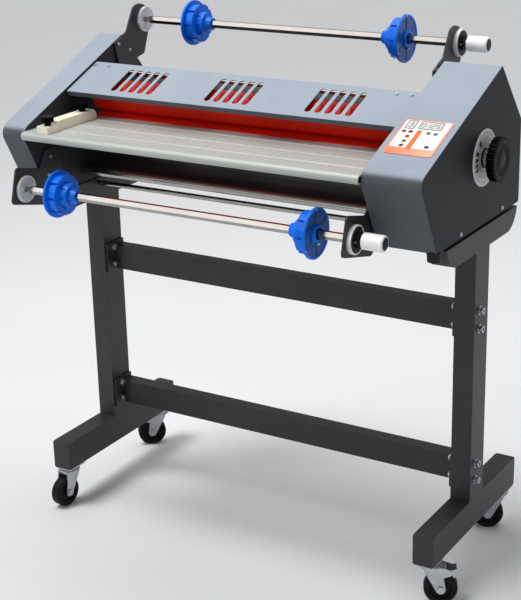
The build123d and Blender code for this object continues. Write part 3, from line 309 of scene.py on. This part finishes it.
def turn(mesh, profile, place, steps=48, closed=False):
    """Turns (radius, height) points about the frame's w. A closed profile makes a ring."""
    rings = []
    for i in range(steps):
        c, s = math.cos(math.tau * i / steps), math.sin(math.tau * i / steps)
        rings.append([mesh.verts.new(place @ Vector((r * c, r * s, h))) for r, h in profile])
    spans = len(profile) if closed else len(profile) - 1
    for i in range(steps):
        here, there = rings[i], rings[(i + 1) % steps]
        for k in range(spans):
            m = (k + 1) % len(profile)
            mesh.faces.new((here[k], there[k], there[m], here[m]))
    bmesh.ops.remove_doubles(mesh, verts=mesh.verts, dist=1e-6)


def piece(name, build, body, finish):
    """A new piece: build fills its mesh, body carries it, finish is its material."""
    mesh = bmesh.new()
    build(mesh)
    bmesh.ops.recalc_face_normals(mesh, faces=mesh.faces)
    data = bpy.data.meshes.new(name)
    mesh.to_mesh(data)
    mesh.free()
    data.polygons.foreach_set("use_smooth", [True] * len(data.polygons))
    data.set_sharp_from_angle(angle=math.radians(32))
    data.materials.append(finish)
    made = bpy.data.objects.new(name, data)
    bpy.context.scene.collection.objects.link(made)
    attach(made, body)
    return made


def rounded(left, bottom, right, top, radius, steps=4):
    """The outline of a rectangle with round corners."""
    corners = ((right, bottom, -90), (right, top, 0), (left, top, 90), (left, bottom, 180))
    points = []
    for x, y, start in corners:
        cx = x - math.copysign(radius, x - (left + right) / 2)
        cy = y - math.copysign(radius, y - (bottom + top) / 2)
        for i in range(steps + 1):
            a = math.radians(start + 90 * i / steps)
            points.append((cx + radius * math.cos(a), cy + radius * math.sin(a)))
    return points


def frame_ring(mesh, outer, inner, height, place, base=0.0):
    """A flat frame between two outlines that have as many points."""
    loops = []
    for outline, level in ((outer, base), (outer, height), (inner, height), (inner, base)):
        loops.append([mesh.verts.new(place @ Vector((a, b, level))) for a, b in outline])
    count = len(outer)
    for one, two in zip(loops, [*loops[1:], loops[0]]):
        for i in range(count):
            j = (i + 1) % count
            mesh.faces.new((one[i], one[j], two[j], two[i]))


SEGMENTS = {
    0: "abcdef", 1: "bc", 2: "abged", 3: "abgcd", 4: "fgbc",
    5: "afgcd", 6: "afgedc", 7: "abc", 8: "abcdefg", 9: "abcdfg",
}


def digit(mesh, number, corner, height, place, lift):
    """A seven-segment numeral, its lower left corner at corner."""
    w, t = height * 0.52, height * 0.11
    bars = {
        "a": ((0, height), (w, height)), "g": ((0, height / 2), (w, height / 2)), "d": ((0, 0), (w, 0)),
        "f": ((0, height / 2), (0, height)), "b": ((w, height / 2), (w, height)),
        "e": ((0, 0), (0, height / 2)), "c": ((w, 0), (w, height / 2)),
    }
    for name in SEGMENTS[number]:
        (x0, y0), (x1, y1) = bars[name]
        along = Vector((x1 - x0, y1 - y0)).normalized()
        side = Vector((-along.y, along.x)) * t / 2
        start = Vector((corner[0] + x0, corner[1] + y0)) + along * t * 0.6
        end = Vector((corner[0] + x1, corner[1] + y1)) - along * t * 0.6
        tips = along * t / 2
        outline = [start - tips, start - side, end - side, end + tips, end + side, start + side]
        extrude(mesh, [(p.x, p.y) for p in outline], lift, place)


# ---------------------------------------------------------------- control panel

SLOPE_RISE, SLOPE_RUN = 132.7, 333.1
SLOPE = math.atan2(SLOPE_RISE, SLOPE_RUN)
ALONG = Vector((0, math.cos(SLOPE), math.sin(SLOPE)))
PLATE = 1.0 * MM
PRINT = 0.12 * MM
panel_low, panel_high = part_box("control_panel")
panel_corner = Vector((panel_low.x, panel_low.y + PLATE * math.sin(SLOPE), panel_low.z))
PANEL_WIDTH = panel_high.x - panel_low.x
PANEL_LENGTH = 101.2 * MM
panel_face = placed(panel_corner + X.cross(ALONG) * PLATE, X, ALONG)
panel_print = panel_face @ Matrix.Translation((0, 0, PRINT))
BORDER = 2.6 * MM
BAND = 18.8 * MM
KEYS = {
    "stop": (11.0, 65.0), "run": (23.5, 65.0), "reverse": (23.4, 51.0), "slower": (23.4, 37.4),
    "faster": (23.7, 24.7), "minus": (56.3, 65.0), "plus": (69.7, 64.4),
}


def white_field(mesh):
    outline = rounded(BORDER, BAND, PANEL_WIDTH - 3.6 * MM, PANEL_LENGTH - BORDER, 3 * MM)
    extrude(mesh, outline, PRINT, panel_face)


def divider(mesh):
    extrude(mesh, rounded(34.5 * MM, 15 * MM, 43.5 * MM, 71 * MM, 2 * MM), PRINT, panel_print)


def window(left, bottom, right, top):
    """The pale pane of a display and the rim round it, as two builders."""
    pane = rounded(left, bottom, right, top, 1.2 * MM)
    rim = 1.3 * MM
    outer = rounded(left - rim, bottom - rim, right + rim, top + rim, 1.2 * MM + rim)

    def build_pane(mesh):
        extrude(mesh, pane, 0.25 * MM, panel_print)

    def build_rim(mesh):
        frame_ring(mesh, outer, pane, 0.45 * MM, panel_print)

    return build_pane, build_rim


speed_pane, speed_rim = window(9 * MM, 74 * MM, 24 * MM, 96 * MM)
count_pane, count_rim = window(33 * MM, 76 * MM, 73 * MM, 96 * MM)
panel_pane = panel_print @ Matrix.Translation((0, 0, 0.25 * MM))


def speed_digits(mesh):
    digit(mesh, 3, (13 * MM, 79 * MM), 12 * MM, panel_pane, PRINT)


def count_digits(mesh):
    for place, number in enumerate((0, 1, 2, 5)):
        digit(mesh, number, ((36 + 9 * place) * MM, 80.5 * MM), 11 * MM, panel_pane, PRINT)


piece("panel_white_field", white_field, "stand", INK_WHITE)
piece("panel_divider", divider, "stand", INK_ORANGE)
piece("panel_speed_window", speed_pane, "stand", WINDOW)
piece("panel_speed_rim", speed_rim, "stand", INK_GREY)
piece("panel_count_window", count_pane, "stand", WINDOW)
piece("panel_count_rim", count_rim, "stand", INK_GREY)
piece("panel_speed_digit", speed_digits, "stand", DIGIT)
piece("panel_count_digits", count_digits, "stand", DIGIT)

KEY_PROFILE = in_mm([(0, 0.68), (2.4, 0.62), (3.9, 0.42), (4.35, 0.18), (4.35, 0)])
for key, (across, up) in KEYS.items():
    seat = panel_face @ Matrix.Translation((across * MM, up * MM, 0))
    piece("panel_key_" + key, lambda mesh: turn(mesh, KEY_PROFILE, seat, 32), "stand",
          KEY_COLOURS[key])


def pill(mesh):
    extrude(mesh, rounded(65.5 * MM, 23 * MM, 74 * MM, 29 * MM, 2.9 * MM), 0.3 * MM, panel_print)


piece("panel_start_key", pill, "stand", INK_BLACK)


# ---------------------------------------------------------------- pressure scale

scale_low, scale_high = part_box("pressure_scale")
scale_centre = (scale_low + scale_high) / 2
SCALE_RADIUS = (scale_high.z - scale_low.z) / 2
BUSHING_END = 8.5 * MM
scale_face = placed(Vector((scale_high.x - BUSHING_END, scale_centre.y, scale_centre.z)), Y, Z)
MARK_RADIUS = 35 * MM
MARK_ANGLES = (126, 158, 176, 192, 207)
NUMBER_ANGLES = (60, 78, 96, 232, 252, 272)
NUMBER_HEIGHT = 6.0 * MM
ARC_RADII = (24, 44)


def scale_rim(mesh):
    r = SCALE_RADIUS
    turn(mesh, [(r - 3 * MM, 0), (r - 2.6 * MM, 0.5 * MM), (r - 0.6 * MM, 0.5 * MM), (r - 0.2 * MM, 0)],
         scale_face, 96, closed=True)


def scale_ticks(mesh):
    for count, angle in enumerate(MARK_ANGLES):
        a = math.radians(angle)
        out = Vector((math.cos(a), math.sin(a), 0))
        side = Vector((-out.y, out.x, 0)) * (4.8 - 0.45 * count) * MM
        near, far = out * (MARK_RADIUS - 6 * MM), out * (MARK_RADIUS + 5.5 * MM)
        outline = [near - side * 0.7, far - side, far + side, near + side * 0.7]
        extrude(mesh, [(p.x, p.y) for p in outline], PRINT, scale_face)


def scale_numbers(mesh):
    half_width = NUMBER_HEIGHT * 0.26
    for number, angle in enumerate(NUMBER_ANGLES):
        a = math.radians(angle)
        middle = Vector((math.cos(a), math.sin(a))) * MARK_RADIUS
        corner = (middle.x - half_width, middle.y - NUMBER_HEIGHT / 2)
        digit(mesh, number, corner, NUMBER_HEIGHT, scale_face, PRINT)


def scale_arcs(mesh):
    for radius in ARC_RADII:
        near, far = radius * MM, (radius + 0.6) * MM
        turn(mesh, [(near, 0), (near, PRINT), (far, PRINT), (far, 0)], scale_face, 96, closed=True)


def scale_collar(mesh):
    profile = in_mm([(14.05, 0), (18, 0), (17.4, 1.4), (14.8, 2), (14.05, 2)])
    turn(mesh, profile, scale_face, 64, closed=True)


def scale_sleeve(mesh):
    foot = in_mm([(14.05, 2), (14.7, 2)])
    tip = [(14.7 * MM, BUSHING_END - 0.4 * MM), (14.1 * MM, BUSHING_END)]
    turn(mesh, foot + tip, scale_face, 64, closed=True)


piece("scale_rim", scale_rim, "stand", INK_WHITE)
piece("scale_ticks", scale_ticks, "stand", INK_BLACK)
piece("scale_numbers", scale_numbers, "stand", INK_GREY)
piece("scale_arcs", scale_arcs, "stand", INK_GREY)
piece("scale_collar", scale_collar, "stand", INK_BLACK)
piece("scale_sleeve", scale_sleeve, "stand", MATERIALS["zinc"])


# ---------------------------------------------------------------- pressure knob

knob_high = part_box("pressure_knob")[1]
knob_face = placed(Vector((knob_high.x, scale_centre.y, scale_centre.z)), Y, Z)


def knob_cap(mesh):
    turn(mesh, in_mm([(0, -0.2), (0, 0.9), (13, 0.9), (14.6, 0.5), (15, -0.2)]), knob_face, 48)


def knob_edge(mesh):
    profile = in_mm([(29, -0.2), (29.6, 0.8), (33.4, 0.8), (34, -0.2)])
    turn(mesh, profile, knob_face, 64, closed=True)


piece("pressure_knob_cap", knob_cap, "pressure_control", INK_BLACK)
piece("pressure_knob_edge", knob_edge, "pressure_control", INK_BLACK)


# ---------------------------------------------------------------- supply shafts

seats_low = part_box("shaft_seats")[0]
SEAT_LEFT_THICK = 5.0 * MM
SEAT_TO_KNOB = 13.0 * MM
SEAT_RADIUS = 25.7 * MM
SEAT_FACE_RADIUS = SEAT_RADIUS - 2.6 * MM
GRIP_STARTS = (6, 11, 16)

for level in ("upper", "lower"):
    tension_low, tension_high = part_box(level + "_tension_knob")
    axis = (tension_low + tension_high) / 2
    knob_radius = (tension_high.z - tension_low.z) / 2
    tip = placed(Vector((tension_high.x, axis.y, axis.z)), Y, Z)

    def end_disc(mesh):
        turn(mesh, [(0, -0.1 * MM), (0, 0.35 * MM), (knob_radius - 4.5 * MM, 0.35 * MM),
                    (knob_radius - 3.4 * MM, 0.05 * MM), (knob_radius - 3.2 * MM, -0.1 * MM)], tip, 48)

    def collar(mesh):
        base = placed(Vector((tension_low.x, axis.y, axis.z)), Y, Z)
        r = knob_radius + 0.02 * MM
        for start in GRIP_STARTS:
            turn(mesh, [(r - 0.3 * MM, start * MM), (r + 0.35 * MM, (start + 0.5) * MM),
                        (r + 0.35 * MM, (start + 1.5) * MM), (r - 0.3 * MM, (start + 2) * MM)],
                 base, 48, closed=True)

    left_face = placed(Vector((seats_low.x + SEAT_LEFT_THICK, axis.y, axis.z)), Y, Z)
    right_face = placed(Vector((tension_low.x - SEAT_TO_KNOB, axis.y, axis.z)), Y, Z)

    def seat_rims(mesh):
        for face in (left_face, right_face):
            turn(mesh, [(SEAT_RADIUS - 2.4 * MM, -0.1 * MM), (SEAT_RADIUS - 2 * MM, 0.5 * MM),
                        (SEAT_RADIUS - 0.7 * MM, 0.5 * MM), (SEAT_RADIUS - 0.2 * MM, -0.1 * MM)],
                 face, 72, closed=True)

    def seat_halves(mesh):
        low_angle = math.asin(6 * MM / SEAT_FACE_RADIUS)
        for side in (1, -1):
            arc = [side * (low_angle + (math.pi - 2 * low_angle) * i / 24) for i in range(25)]
            outline = [(SEAT_FACE_RADIUS * math.cos(a), SEAT_FACE_RADIUS * math.sin(a)) for a in arc]
            extrude(mesh, outline[::side], PRINT, left_face)

    def seat_disc(mesh):
        near, far = 8 * MM, SEAT_FACE_RADIUS
        turn(mesh, [(near, 0), (near, PRINT), (far, PRINT), (far, 0)], right_face, 72, closed=True)

    def hub_collar(mesh):
        profile = in_mm([(7.02, 0.4), (12.4, 0.4), (12.9, 0.9), (12.9, 5.6), (12.2, 6.3), (7.02, 6.3)])
        turn(mesh, profile, right_face, 48, closed=True)

    def cross_pin(mesh):
        out = Matrix.Translation((0, 0, 3.4 * MM))
        across = right_face @ out @ Matrix.Rotation(math.radians(90), 4, "Y")
        profile = in_mm([(0, -15), (1.2, -15), (1.7, -14.5), (1.7, 14.5), (1.2, 15), (0, 15)])
        turn(mesh, profile, across, 20)

    piece(level + "_seat_rims", seat_rims, "stand", MATERIALS["plastic_white"])
    piece(level + "_seat_left_face", seat_halves, "stand", SEAT_GREY)
    piece(level + "_seat_right_face", seat_disc, "stand", SEAT_DARK)
    piece(level + "_hub_collar", hub_collar, level + "_shaft", INK_BLACK)
    piece(level + "_cross_pin", cross_pin, level + "_shaft", MATERIALS["zinc"])
    piece(level + "_tension_end", end_disc, level + "_tension", SEAT_DARK)
    piece(level + "_tension_grip", collar, level + "_tension", MATERIALS["plastic_white"])

    for side in ("left", "right"):
        name = f"core_chuck_{level}_{side}"
        body = f"chuck_{level}_{side}"
        low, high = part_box(name)
        back = low.x if side == "left" else high.x
        rim = (high.z - low.z) / 2
        u = Y if side == "right" else -Y
        face = placed(Vector((back, axis.y, axis.z)), u, Z)

        # A thin ring of the darker blue on the chuck face: painted shade in its hollow.
        def hollow(mesh):
            turn(mesh, [(17 * MM, -0.2 * MM), (17 * MM, 0.12 * MM), (rim - 5 * MM, 0.12 * MM),
                        (rim - 5 * MM, -0.2 * MM)], face, 64, closed=True)

        def rim_bead(mesh):
            turn(mesh, [(rim - 4.4 * MM, -0.1 * MM), (rim - 3.9 * MM, 1.1 * MM),
                        (rim - 0.9 * MM, 1.1 * MM), (rim - 0.3 * MM, -0.1 * MM)], face, 64, closed=True)

        def hub(mesh):
            profile = in_mm([(11.2, -0.2), (16.4, -0.2), (15.6, 4.5), (14.8, 5), (11.2, 5)])
            turn(mesh, profile, face, 64, closed=True)

        def rib_set(mesh):
            for i in range(6):
                around = face @ Matrix.Rotation(math.tau * (i + 0.5) / 6, 4, "Z")
                extrude(mesh, [(15.5 * MM, -1 * MM), (rim - 4 * MM, -1 * MM), (rim - 4 * MM, 1 * MM),
                               (15.5 * MM, 1 * MM)], 0.9 * MM, around)

        def screws(mesh):
            for i in range(3):
                angle = math.radians(90 + 120 * i)
                out = rim - 2.6 * MM
                place = (math.cos(angle) * out, math.sin(angle) * out, 1.0 * MM)
                spot = face @ Matrix.Translation(place)
                turn(mesh, in_mm([(0, 0.9), (0.9, 0.9), (1.9, 0.5), (2.1, 0)]), spot, 20)
            below = face @ Matrix.Translation((0, -15.6 * MM, 3.2 * MM))
            clamp = below @ Matrix.Rotation(math.radians(90), 4, "X")
            turn(mesh, in_mm([(1.6, 1.0), (1.8, 3.4), (3.2, 3.4), (3.4, 0.2)]), clamp, 24, closed=True)

        piece(f"{name}_hollow", hollow, body, CHUCK_SHADE_BLUE)
        piece(f"{name}_bead", rim_bead, body, HUB_BLUE)
        piece(f"{name}_hub", hub, body, HUB_BLUE)
        piece(f"{name}_ribs", rib_set, body, CHUCK_SHADE_BLUE)
        piece(f"{name}_screws", screws, body, MATERIALS["zinc"])


# ---------------------------------------------------------------- feed table

table_low, table_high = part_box("feed_table")
TABLE_TOP = 825.0 * MM
GROOVES = (-115.5 * MM, -166.0 * MM, -216.5 * MM)
STRIP_PROFILE = [(1.0, -0.05), (1.3, 0.08), (2.7, 0.08), (3.0, -0.05)]


# Thin near-white strips along each groove: painted highlights.
def groove_strips(mesh):
    for groove in GROOVES:
        across = placed(Vector((table_low.x + 1 * MM, groove, TABLE_TOP)), Y, Z)
        length = table_high.x - table_low.x - 2 * MM
        for side in (-1, 1):
            outline = in_mm([(side * a, b) for a, b in STRIP_PROFILE])
            extrude(mesh, outline[::side], length, across)


piece("table_groove_highlight_strips", groove_strips, "stand", GROOVE_HIGHLIGHT_PAINT)


def end_plugs(mesh):
    for end, inward in ((table_low.x, 1), (table_high.x, -1)):
        across = placed(Vector((end + inward * 0.3 * MM, 0, 0)), Y, Z)
        inside = rounded(table_low.y + 2.6 * MM, table_low.z + 2.6 * MM, table_high.y - 2.6 * MM,
                         table_high.z - 2.6 * MM, 5 * MM)
        extrude(mesh, inside, inward * 4 * MM, across)


piece("table_end_plugs", end_plugs, "stand", MATERIALS["plastic_black"])


# ---------------------------------------------------------------- mains inlet and switch

inlet_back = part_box("mains_inlet")[1].y
PLUG_X, PLUG_Z = 400 * MM, 722 * MM
PINS = ((-7, -2), (7, -2), (0, 3))


def inlet_pins(mesh):
    place = placed(Vector((PLUG_X, inlet_back - 4 * MM, PLUG_Z)), -X, Z)
    for across, up in PINS:
        left, right = (across - 1) * MM, (across + 1) * MM
        outline = rounded(left, (up - 3) * MM, right, (up + 3) * MM, 0.6 * MM)
        extrude(mesh, outline, 3.5 * MM, place, -6 * MM)


piece("inlet_pins", inlet_pins, "stand", BRASS)


# ---------------------------------------------------------------- floor, light and camera


def backdrop():
    """A pale round floor that curves up far out, all round the machine."""
    mesh = bmesh.new()
    flat, radius = 9.0, 6.0
    profile = [(0.0, 0.0), (3.0, 0.0), (flat, 0.0)]
    for i in range(1, 13):
        a = math.radians(84 * i / 12)
        profile.append((flat + radius * math.sin(a), radius - radius * math.cos(a)))
    turn(mesh, profile, Matrix.Identity(4), 96)
    data = bpy.data.meshes.new("studio_floor")
    mesh.to_mesh(data)
    mesh.free()
    data.polygons.foreach_set("use_smooth", [True] * len(data.polygons))
    data.materials.append(surface("studio_floor", (0.72, 0.725, 0.73), 0.85, vary=0.015, patch=2,
                                  grain=60, strength=0.02))
    made = bpy.data.objects.new("studio_floor", data)
    bpy.context.scene.collection.objects.link(made)


def lamp(name, kind, energy, place, target, **settings):
    """A light at place that shines on target."""
    data = bpy.data.lights.new(name, kind)
    data.energy = energy
    for key, value in settings.items():
        setattr(data, key, value)
    made = bpy.data.objects.new(name, data)
    made.location = place
    made.rotation_mode = "QUATERNION"
    made.rotation_quaternion = (Vector(target) - Vector(place)).to_track_quat("-Z", "Y")
    bpy.context.scene.collection.objects.link(made)


def sky(strength, color):
    """Even light from all round."""
    world = bpy.data.worlds.new("studio")
    world.use_nodes = True
    background = world.node_tree.nodes["Background"]
    background.inputs["Color"].default_value = (*color, 1)
    background.inputs["Strength"].default_value = strength
    bpy.context.scene.world = world


backdrop()
MIDDLE = (0, 0, 0.6)
lamp("key", "SUN", 1.7, (-0.9, -0.9, 4.0), MIDDLE, angle=math.radians(20))
lamp("top_softbox", "AREA", 36, (-0.2, 0.7, 2.7), MIDDLE, shape="RECTANGLE", size=3.0, size_y=2.2)
lamp("front_softbox", "AREA", 38, (-1.9, -2.5, 2.9), MIDDLE, shape="RECTANGLE", size=2.6, size_y=2.4)
sky(0.26, (0.95, 0.97, 1.0))
bpy.context.scene.view_settings.view_transform = "Standard"

EYE = (1.41122, -2.33059, 1.45356)
LENS = 87.9
YAW, PITCH, ROLL = math.radians(31.83186), math.radians(-19.83041), math.radians(-1.46689)
forward = Vector((-math.sin(YAW) * math.cos(PITCH), math.cos(YAW) * math.cos(PITCH), math.sin(PITCH)))
horizontal = Vector((math.cos(YAW), math.sin(YAW), 0))
upward = horizontal.cross(forward)
right = horizontal * math.cos(ROLL) + upward * math.sin(ROLL)
top = upward * math.cos(ROLL) - horizontal * math.sin(ROLL)
view = Matrix((right, top, -forward)).transposed()
camera = bpy.data.objects.new("camera", bpy.data.cameras.new("camera"))
camera.data.lens = LENS
camera.data.sensor_width = 36
camera.data.clip_end = 60
camera.matrix_world = Matrix.Translation(EYE) @ view.to_4x4()
bpy.context.scene.collection.objects.link(camera)
bpy.context.scene.camera = camera
